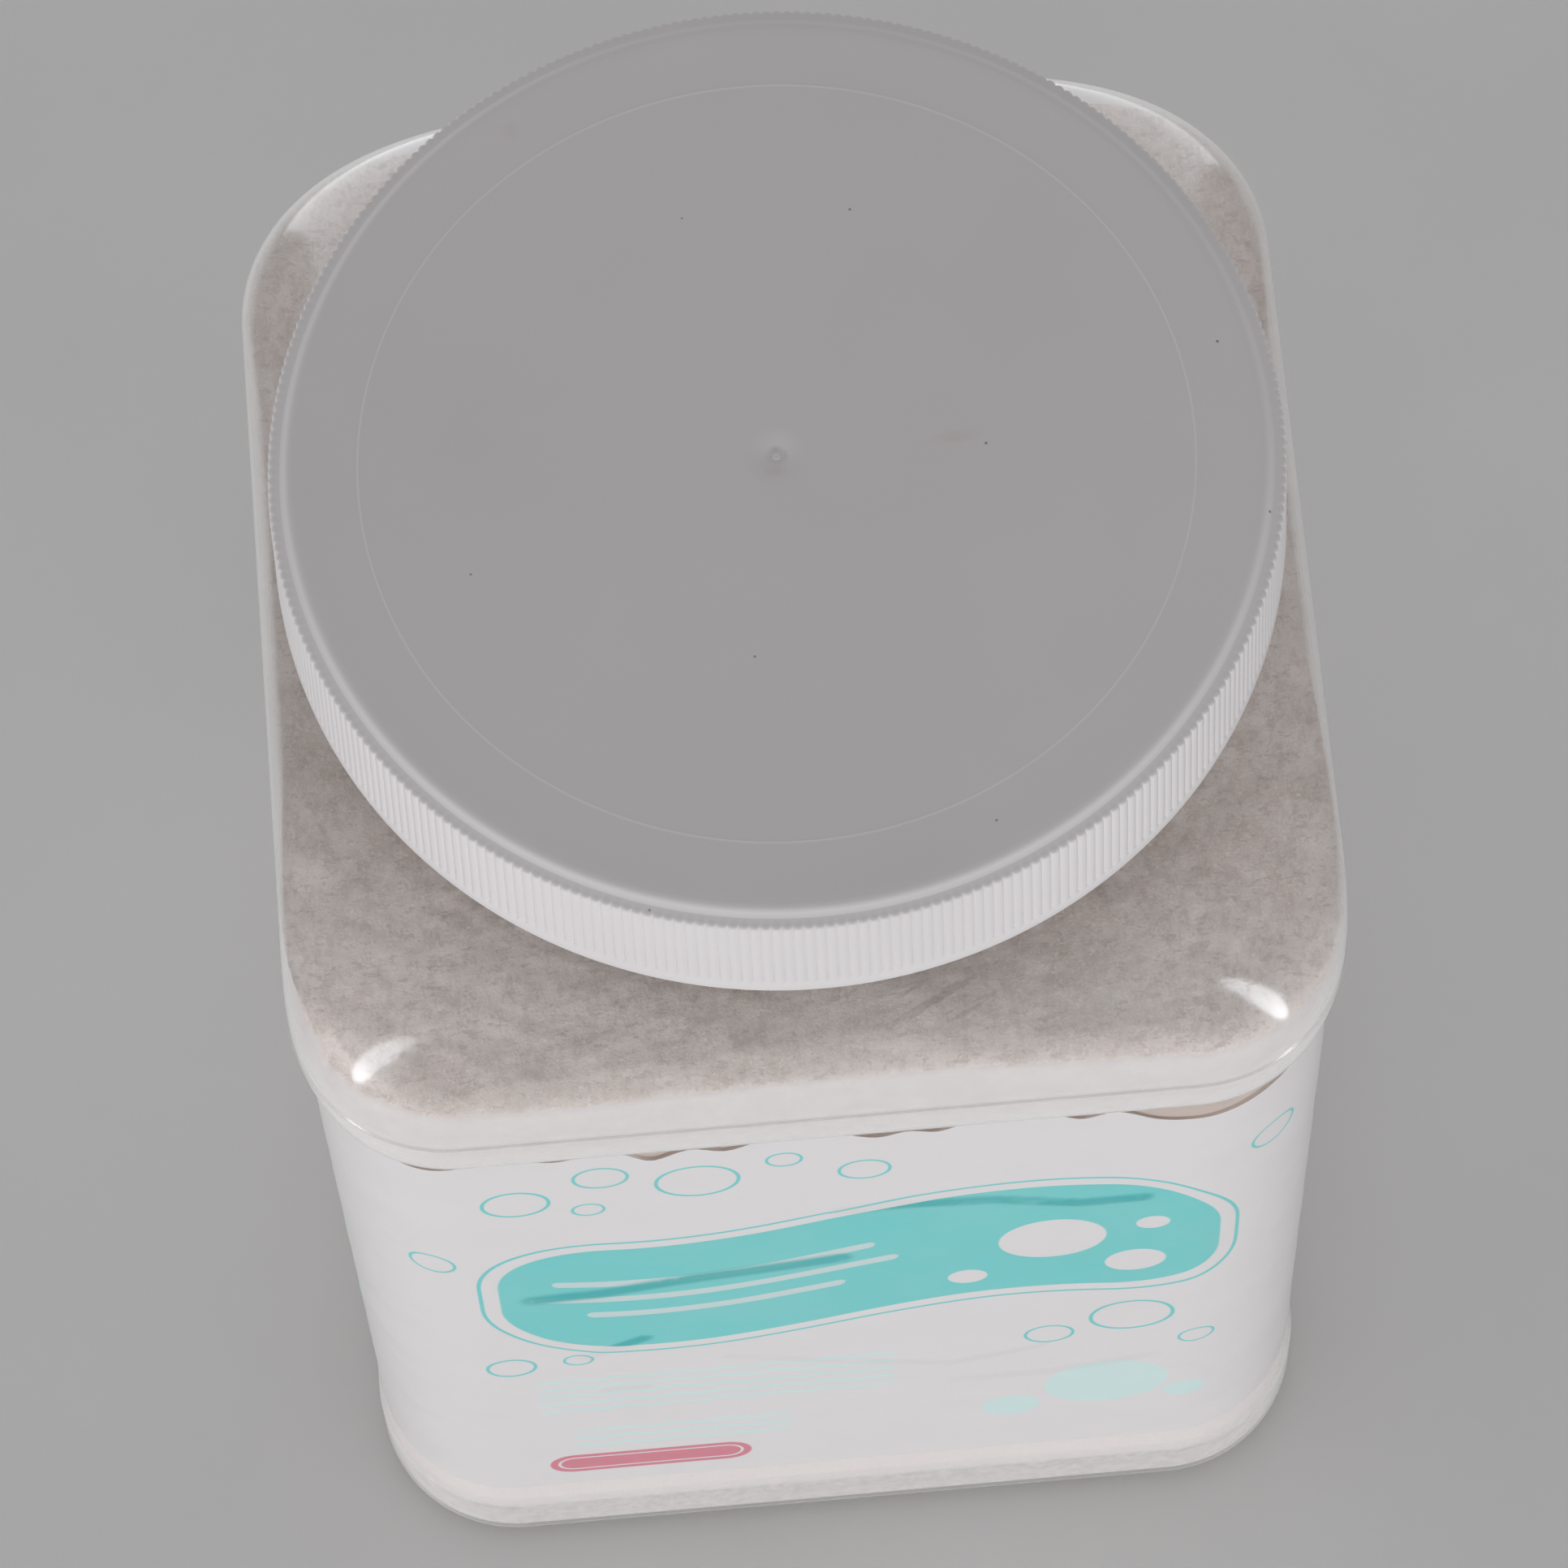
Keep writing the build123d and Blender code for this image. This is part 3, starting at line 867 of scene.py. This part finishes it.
def powder_material():
    """Washing powder: off-white, with grains and fine streaks; its mottled top is painted browner and
    darker as shade, and its sides carry painted bands: tan shade under the lip, paler light on the ramp
    and darker grey shade at the foot.
    """
    paint = Paint("powder_grains", roughness=0.95, specular_ior_level=0.2)
    height = paint.upward(paint.place)
    # Share of the upward-facing top, which takes the browner paint that is painted shade
    top = paint.spread(paint.upward(paint.facing()), 0.42, 0.68, smooth=True)
    clouds = paint.noise(cloud_size, 6.0, 0.62)
    clumps = paint.noise(clump_size, 6.0, 0.75)
    streaks = paint.noise(streak_size, 4.0, 0.8, stretch=(1.0, 0.45, 1.0))
    flakes = paint.noise(flake_size, 3.0, 0.8, stretch=(0.5, 1.0, 1.0))
    grains = paint.noise(grain_size, 3.0, 0.8)
    # The top's paint: real mottle, grains and streaks over a browner, darker tone that is painted shade
    cloudy = paint.spread(clouds, 0.40, 0.60)
    paint.colour = paint.mix(cloudy, (0.795, 0.715, 0.66, 1), (0.915, 0.84, 0.795, 1))
    paint.tint(paint.spread(clumps, 0.44, 0.60, 0, 0.5), light_grain)
    paint.tint(paint.spread(streaks, 0.48, 0.60, 0, 0.40), dark_grain)
    paint.tint(paint.spread(flakes, 0.55, 0.62, 0, 0.55), dark_grain)
    paint.tint(paint.spread(grains, 0.56, 0.64, 0, 0.7), (0.99, 0.97, 0.96, 1))

    lump = pixel_at_height(pale_lump_pixel, powder_high.z)
    from_lump = paint.vector("DISTANCE", paint.place, tuple(lump))
    ragged = paint.math("ADD", from_lump, paint.times(clumps, lump_ragged))
    paint.tint(paint.spread(ragged, lump_reach, lump_core, 0, 0.7), (0.94, 0.91, 0.89, 1))
    hairs = pixel_at_height(hair_streak_pixel, powder_high.z)
    from_hairs = paint.vector("SUBTRACT", paint.place, tuple(hairs))
    away = paint.vector("LENGTH", paint.vector("MULTIPLY", from_hairs, (0.45, 1.1, 1.0)))
    turned = paint.node("ShaderNodeMapping", Vector=from_hairs, Rotation=(0, 0, hair_turn))
    strands = paint.noise(hair_size, 3.0, 0.6, turned.outputs[0], (0.13, 1.0, 0.3))
    near_hairs = paint.spread(away, hair_reach, hair_core, 0, 0.85)
    paint.tint(paint.times(paint.spread(strands, 0.54, 0.60), near_hairs), (0.36, 0.30, 0.23, 1))
    shaded_brown_top = paint.colour

    clumped = paint.spread(clumps, 0.3, 0.7)
    paint.colour = paint.mix(clumped, (0.77, 0.745, 0.737, 1), (0.835, 0.815, 0.807, 1))
    # Painted shade: a tan band under the lip, where the lip and label shade the powder
    under_lip_shade_foot = lip_foot - under_lip_shade_height
    under_lip = paint.spread(height, lip_foot - under_lip_shade_edge, lip_foot, 1, 0)
    over_film = paint.spread(height, under_lip_shade_foot, under_lip_shade_foot + under_lip_shade_edge)
    paint.tint(paint.times(under_lip, over_film), (0.68, 0.58, 0.52, 1))
    # Painted light: the band on the ramp is painted paler
    on_ramp = paint.spread(height, panel_foot + ramp_band_edge, panel_foot, 0, 0.7)
    paint.tint(on_ramp, (0.86, 0.825, 0.81, 1))
    # Painted shade: darker streaky grey at the foot
    at_foot = paint.spread(height, ramp_foot + foot_band_edge, ramp_foot - 2 * foot_band_edge, 0, 0.75)
    streaky = paint.spread(streaks, 0.4, 0.6)
    paint.tint(at_foot, paint.mix(streaky, (0.56, 0.545, 0.535, 1), (0.74, 0.72, 0.71, 1)))
    # Painted shade: the upward-facing top takes the browner, darker paint
    paint.tint(top, shaded_brown_top)
    normal = paint.bump(clumps, 0.3, clump_depth)
    normal = paint.bump(grains, 0.4, grain_depth, normal)
    return paint.finish(normal)


# Lid's flow clouds, grain and ring line; the ring line is a painted highlight on the ring's ridge
flow_size = 38 * mm
flow_depth = 0.5 * mm
lid_grain_size = 0.35 * mm
lid_grain_depth = 0.04 * mm
polish_size = 9 * mm
ring_line_half = 0.05 * mm
ring_line_soft = 0.16 * mm

# Specks on the lid's top: pixel and radius
lid_specks = (
    ((1047, 257), 0.22 * mm), ((1500, 420), 0.25 * mm), ((840, 268), 0.16 * mm),
    ((580, 707), 0.18 * mm), ((930, 808), 0.20 * mm), ((1228, 1010), 0.20 * mm),
    ((800, 1118), 0.18 * mm), ((1565, 628), 0.22 * mm), ((1215, 545), 0.24 * mm),
)
speck_soft = 0.08 * mm

# Smudges on the lid's top: pixel, radius and how much each is squeezed along x, y and z
lid_smudges = (
    ((1178, 537), 3.4 * mm, (1.0, 3.2, 1.0)),
    ((628, 162), 1.6 * mm, (1.0, 1.0, 1.0)),
    ((955, 580), 1.5 * mm, (1.0, 1.6, 1.0)),
)
smudge_ragged = 1.6 * mm
smudge_soft = 0.9 * mm


def lid_material():
    """Moulded white plastic: fine matte, with faint flow clouds, smudges, a few dark specks and a painted
    highlight line on the ring.
    """
    paint = Paint("lid_plastic", specular_ior_level=0.35)
    flat = paint.vector("MULTIPLY", paint.place, (1.0, 1.0, 0.0))
    flow = paint.noise(flow_size, 3.0, 0.5)
    grain = paint.noise(lid_grain_size, 3.0, 0.6)
    cloudy = paint.spread(flow, 0.3, 0.7)
    paint.colour = paint.mix(cloudy, (0.705, 0.685, 0.697, 1), (0.73, 0.712, 0.722, 1))
    # Painted highlight: a lighter thin line on the ring's ridge
    from_ring = paint.apart(paint.vector("LENGTH", flat), lid_ring_radius)
    paint.tint(paint.spread(from_ring, ring_line_half, ring_line_soft, 0.5, 0), (0.90, 0.88, 0.89, 1))
    for pixel, radius, squeeze in lid_smudges:
        centre = pixel_at_height(pixel, lid_top)
        shift = paint.vector("SUBTRACT", flat, (centre.x, centre.y, 0))
        away = paint.vector("LENGTH", paint.vector("MULTIPLY", shift, squeeze))
        ragged = paint.times(paint.noise(smudge_ragged, 4.0, 0.7), smudge_ragged)
        away = paint.math("ADD", away, ragged)
        smudge = paint.spread(away, radius + smudge_soft, 0.5 * radius, 0, 0.13)
        paint.tint(smudge, (0.52, 0.38, 0.32, 1))
    for pixel, radius in lid_specks:
        centre = pixel_at_height(pixel, lid_top)
        away = paint.vector("DISTANCE", flat, (centre.x, centre.y, 0))
        speck = paint.spread(away, 0.7 * radius + speck_soft, 0.7 * radius - speck_soft, 0, 0.75)
        paint.tint(speck, (0.13, 0.11, 0.10, 1))
    rough = paint.spread(paint.noise(polish_size, 5.0, 0.6), 0.3, 0.7, 0.50, 0.62)
    normal = paint.bump(flow, 0.2, flow_depth)
    normal = paint.bump(grain, 0.25, lid_grain_depth, normal)
    return paint.finish(normal, rough)


def liner_material():
    """Foam liner: pale, matte and finely pored."""
    pore_size = 0.5 * mm
    pore_depth = 0.1 * mm
    paint = Paint("liner_foam", roughness=0.85)
    pores = paint.noise(pore_size, 3.0, 0.7)
    porous = paint.spread(pores, 0.35, 0.65)
    paint.colour = paint.mix(porous, (0.80, 0.80, 0.78, 1), (0.90, 0.90, 0.88, 1))
    return paint.finish(paint.bump(pores, 0.4, pore_depth))


# Print colours, and the painted shade colours of creases, of the seam's edges and of the film's cut edge
film_white = (0.745, 0.728, 0.740, 1)
teal = (0.16, 0.62, 0.62, 1)
crease_shade_teal = (0.015, 0.42, 0.43, 1)
pale_teal = (0.62, 0.80, 0.79, 1)
rose = (0.66, 0.20, 0.27, 1)
crease_shade_grey = (0.45, 0.44, 0.45, 1)
seam_shadow_grey = (0.30, 0.30, 0.30, 1)
cut_edge_shade_tan = (0.52, 0.42, 0.36, 1)

# The print is set out in millimetres: across from the front's middle, and height.
# Bubbles printed as rings: place, radius and line
line_bubbles = (
    (-40, 134, 4.2, 0.5), (-31, 130, 2.0, 0.4), (-29, 141, 3.4, 0.45), (-17, 137, 5.2, 0.5),
    (-6, 142, 2.2, 0.4), (4, 136, 3.2, 0.45), (39, 71, 5.5, 0.55), (28, 66, 3.2, 0.45),
    (48, 60, 2.4, 0.4), (-52, 112, 3.0, 0.45), (-44, 71, 3.2, 0.5), (-35, 72, 1.9, 0.4),
    (57, 128, 3.4, 0.45),
)

# Pale bubbles, and the white ones in the field: place and radius
pale_bubbles = (
    (36, 44, 8.5), (23, 37, 4.0), (47, 38, 3.0), (-78, 96, 9.0), (-90, 82, 5.0), (-72, 70, 3.6),
    (-96, 120, 6.0), (84, 104, 8.0), (96, 88, 4.4), (78, 84, 3.0), (110, 118, 5.5),
)
white_bubbles = ((28, 104, 7.0), (39, 93, 4.0), (17, 92, 2.6), (41, 107, 2.2))

# Blocks of pale wavy lines: middle and half size
striped_blocks = (
    ((-17, 57), (24, 8)), ((-22, 38), (15, 4.6)), ((120, 92), (34, 18)), ((112, 52), (26, 8)),
    ((-120, 88), (34, 22)), ((-128, 48), (24, 8)), ((-216, 96), (17, 30)), ((-216, 46), (17, 9)),
)
stripe_pitch = 3.1
stripe_wave = 0.35
stripe_turn = 0.9

# Panels on the two sides, and the seam's edges, where painted shadow lines fall
side_panels = ((120, 84), (-120, 84))
panel_half = (41, 52)
panel_corner = 9
panel_line_half = 0.3
header_rise = 43
header_half = (36, 4.5)
seam_edges = (212, 224)

# Waved field with its outline and strokes, and the pill
field_middle = (3, 100)
field_half = (47, 19)
field_corner = 15
field_sway = 5.0
field_sway_length = 96
outline_gap = 2.4
outline_half = 0.28
stroke_across = -16
stroke_half = 1.0
strokes = ((6.0, 21), (0.0, 24), (-6.0, 17))
pill_middle = (-27, 28)
pill_half = (14, 3.6)
pill_line_inset = 1.3
pill_line_half = 0.2
fine_edge = 0.08

# Film's creases (size of the breaks in their painted shade), wash, polish and wrinkles
crease_break_size = 9 * mm
wash_size = 22 * mm
film_polish_size = 6 * mm
wrinkle_size = 5 * mm
wrinkle_depth = 0.5 * mm


class PrintPaint(Paint):
    """Paint in millimetres on the label: across from the front's middle, and height."""

    def __init__(self, name, **sockets):
        super().__init__(name, **sockets)
        spot = self.node("ShaderNodeAttribute", {"attribute_name": "print_place"}).outputs["Vector"]
        self.spot = self.vector("MULTIPLY", spot, (1 / mm, 1 / mm, 0.0))
        split = self.node("ShaderNodeSeparateXYZ", Vector=self.spot)
        self.across, self.height = split.outputs["X"], split.outputs["Y"]

    def inside(self, distance, edge=0.12, share=1.0):
        """Share of a shape from a distance that is negative inside it."""
        return self.spread(distance, edge, -edge, 0, share)

    def ink(self, distance, colour, edge=0.12, share=1.0):
        """Prints a shape in a colour."""
        self.tint(self.inside(distance, edge, share), colour)

    def box(self, centre, half, radius, place=None):
        """Distance from a rounded box's outline."""
        shift = self.vector("SUBTRACT", place or self.spot, (*centre, 0))
        inner = (half[0] - radius, half[1] - radius, 0)
        reach = self.vector("SUBTRACT", self.vector("ABSOLUTE", shift), inner)
        outside = self.vector("LENGTH", self.vector("MAXIMUM", reach, (0, 0, 0)))
        return self.math("SUBTRACT", outside, radius)

    def disc(self, centre, radius):
        """Distance from a circle."""
        return self.math("SUBTRACT", self.vector("DISTANCE", self.spot, (*centre, 0)), radius)

    def line(self, distance, offset, half_line):
        """Distance from a line drawn along a shape's outline, at an offset."""
        return self.math("SUBTRACT", self.apart(distance, offset), half_line)


def label_material():
    """Printed white film: a wavy teal field, bubbles, pale lines and a rose pill, faded and creased, with
    painted shade in its creases, painted shadow lines along the seam's edges and painted shade on its cut
    edge.
    """
    paint = PrintPaint("printed_film", specular_ior_level=0.5)
    turn = paint.times(paint.across, 2 * math.pi / field_sway_length)
    sway = paint.times(paint.math("SINE", turn), field_sway)
    swayed_height = paint.math("SUBTRACT", paint.height, sway)
    swayed = paint.node("ShaderNodeCombineXYZ", X=paint.across, Y=swayed_height).outputs[0]
    ribbon = paint.box(field_middle, field_half, field_corner, swayed)

    paint.colour = film_white
    for x, z, radius in pale_bubbles:
        paint.ink(paint.disc((x, z), radius), pale_teal)
    ripple = paint.math("SINE", paint.times(paint.across, stripe_turn))
    rows = paint.math("ADD", paint.height, paint.times(ripple, stripe_wave))
    phase = paint.math("FRACT", paint.math("DIVIDE", rows, stripe_pitch))
    stripes = paint.spread(paint.apart(phase, 0.5), 0.2, 0.16, 0, 0.9)
    for middle, half in striped_blocks:
        block = paint.inside(paint.box(middle, half, 1.5))
        paint.tint(paint.times(block, stripes), pale_teal)
    for x, z in side_panels:
        panel = paint.box((x, z), panel_half, panel_corner)
        paint.ink(paint.line(panel, 0, panel_line_half), teal, fine_edge)
        paint.ink(paint.box((x, z + header_rise), header_half, header_half[1]), teal)
    for x, z, radius, line in line_bubbles:
        paint.ink(paint.line(paint.disc((x, z), radius), 0, line / 2), teal, fine_edge)

    field = paint.inside(ribbon)
    paint.tint(field, teal)
    paint.ink(paint.line(ribbon, outline_gap, outline_half), teal, fine_edge)
    for x, z, radius in white_bubbles:
        paint.ink(paint.disc((x, z), radius), film_white)
    for rise, reach in strokes:
        middle = (stroke_across, field_middle[1] + rise)
        stroke = paint.box(middle, (reach, stroke_half), stroke_half, swayed)
        paint.ink(stroke, film_white, share=0.7)
    pill = paint.box(pill_middle, pill_half, pill_half[1])
    paint.ink(pill, rose)
    paint.ink(paint.line(pill, -pill_line_inset, pill_line_half), film_white, fine_edge)

    # Painted shadow lines along the seam's lapped edges
    for place in seam_edges:
        paint.tint(paint.spread(paint.apart(paint.across, place), 0.08, 0.3, 0.35, 0), seam_shadow_grey)
    # Painted shade in the creases: a little grey, and deeper teal in the field
    fold = paint.node("ShaderNodeAttribute", {"attribute_name": "crease"}).outputs["Fac"]
    broken = paint.spread(paint.noise(crease_break_size, 3.0), 0.25, 0.45)
    shaded_fold = paint.times(paint.spread(fold, 0.2, 0.7), broken)
    paint.tint(paint.times(shaded_fold, 0.12), crease_shade_grey)
    paint.tint(paint.times(paint.times(shaded_fold, field), 0.9), crease_shade_teal)
    paint.tint(paint.spread(paint.noise(wash_size, 4.0, 0.6), 0.3, 0.75, 0.0, 0.08), film_white)
    # Painted shade: tan on the film's upward-facing cut edge
    paint.tint(paint.spread(paint.upward(paint.facing()), 0.5, 0.8, 0, 0.8), cut_edge_shade_tan)
    rough = paint.spread(paint.noise(film_polish_size, 4.0), 0.3, 0.7, 0.28, 0.42)
    wrinkles = paint.noise(wrinkle_size, 4.0, 0.55, stretch=(0.4, 0.4, 1.0))
    return paint.finish(paint.bump(wrinkles, 0.25, wrinkle_depth), rough)


# Floor sizes
floor_reach = 6.0
floor_gap = 0.05 * mm
floor_mottle_size = 60 * mm


def floor_material():
    """Pale matte floor with a faint mottle."""
    paint = Paint("pale_floor", roughness=0.8)
    mottle = paint.spread(paint.noise(floor_mottle_size, 4.0), 0.3, 0.7)
    paint.colour = paint.mix(mottle, (0.87, 0.87, 0.865, 1), (0.90, 0.90, 0.895, 1))
    return paint.finish()


def make_floor():
    """Plain pale floor, just under the tub's foot."""
    sides = ((-1, -1), (1, -1), (1, 1), (-1, 1))
    corners = [(floor_reach * x, floor_reach * y, -floor_gap) for x, y in sides]
    floor = new_mesh("floor", corners, [(0, 1, 2, 3)], 30)
    floor.data.materials.append(floor_material())
    return floor


def make_world():
    """Soft surroundings, brighter near the horizon than overhead, and brightest behind the tub."""
    world = bpy.data.worlds.new("studio")
    bpy.context.scene.world = world
    world.use_nodes = True
    sky = Nodes(world.node_tree)
    where = sky.node("ShaderNodeTexCoord").outputs["Generated"]
    split = sky.node("ShaderNodeSeparateXYZ", Vector=where)
    upward = sky.spread(split.outputs["Z"], 0.0, 0.75, 0.50, 0.37)
    backward = sky.spread(split.outputs["Y"], 0.1, 0.8, 1.0, 1.3)
    glow = world.node_tree.nodes["Background"].inputs
    sky.feed(glow["Strength"], sky.times(upward, backward))
    sky.feed(glow["Color"], (1.0, 0.985, 0.99, 1))


def heading(azimuth, elevation):
    """Unit direction from angles in degrees. Azimuth 0 is the front and 90 the right."""
    turn, rise = math.radians(azimuth), math.radians(elevation)
    return Vector((math.sin(turn) * math.cos(rise), -math.cos(turn) * math.cos(rise), math.sin(rise)))


# Gleams on the jar's corners: name, corner, lower and upper direction as azimuth and elevation,
# distance, width, radiance and shape
gleams = (
    ("left_strip", (-1, -1), (-60, -42), (-43, 9), 0.23, 0.031, 5, "ELLIPSE"),
    ("right_strip", (1, -1), (56, -48), (38, 2), 0.21, 0.027, 5, "ELLIPSE"),
    ("back_left_softbox", (-1, 1), (-168, -29), (-168, 44), 0.3, 0.20, 1.8, "RECTANGLE"),
    ("back_right_softbox", (1, 1), (164, -29), (164, 44), 0.3, 0.20, 1.4, "RECTANGLE"),
)
gleam_colour = (0.93, 0.96, 1.0)

# Fills: name, azimuth, lower and upper elevation, width and radiance
fills = (
    ("front_fill", 0, -7, 15, 1.0, 5.5),
    ("left_fill", -88, -7, 10, 0.9, 3.8),
    ("right_fill", 90, -7, 10, 0.9, 1.3),
)
fill_distance = 1.3


def make_softbox(name, target, lower, upper, distance, width, radiance):
    """Soft light that faces a place and reaches from a lower direction to an upper one."""
    first = target + heading(*lower) * distance
    last = target + heading(*upper) * distance
    middle = (first + last) / 2
    up = (last - first).normalized()
    side = up.cross(middle - target).normalized()
    length = (last - first).length
    light = bpy.data.lights.new(name, "AREA")
    light.shape = "RECTANGLE"
    light.size = width
    light.size_y = length
    light.energy = radiance * math.pi * width * length
    made = bpy.data.objects.new(name, light)
    made.matrix_world = placement(side, up, side.cross(up), middle)
    made.visible_camera = False
    bpy.context.scene.collection.objects.link(made)
    return made


def link_light(light, thing, state):
    """Lets a light reach only one thing, or all but that thing."""
    reached = bpy.data.collections.new(light.name + "_reach")
    reached.objects.link(thing)
    reached.collection_objects[0].light_linking.link_state = state
    light.light_linking.receiver_collection = reached


def make_lights(floor, jar):
    """Studio light: a gleam on each of the jar's corners, and low fills that spare the floor."""
    make_world()
    shoulder = widest_line + shoulder_rise / 2
    for name, (x, y), lower, upper, distance, width, radiance, shape in gleams:
        corner = Vector((x * corner_place, y * corner_place, shoulder))
        light = make_softbox(name, corner, lower, upper, distance, width, radiance)
        light.data.shape = shape
        light.data.color = gleam_colour
        link_light(light, jar, "INCLUDE")
    for name, azimuth, low, high, width, radiance in fills:
        ends = (azimuth, low), (azimuth, high)
        light = make_softbox(name, Vector((0, 0, shoulder)), *ends, fill_distance, width, radiance)
        light.visible_glossy = False
        link_light(light, floor, "EXCLUDE")


def finish_piece(piece, material, body):
    """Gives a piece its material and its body."""
    piece.data.materials.clear()
    piece.data.materials.append(material)
    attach(piece, body)


def main():
    """Builds the scene."""
    make_camera()
    clear = jar_material()
    white = lid_material()
    jar, neck_thread = make_jar()
    finish_piece(jar, clear, "tub")
    finish_piece(neck_thread, clear, "tub")
    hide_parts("jar")
    make_lights(make_floor(), jar)
    powder = make_powder()
    finish_piece(powder, powder_material(), "tub")
    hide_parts("powder")
    label = make_label()
    finish_piece(label, label_material(), "tub")
    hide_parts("label")
    lid, lid_thread = make_lid()
    finish_piece(lid, white, "lid")
    finish_piece(lid_thread, white, "lid")
    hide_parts("lid")
    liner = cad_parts["liner"]
    liner.data.materials.clear()
    liner.data.materials.append(liner_material())
    bpy.context.scene.view_settings.view_transform = "Standard"


main()
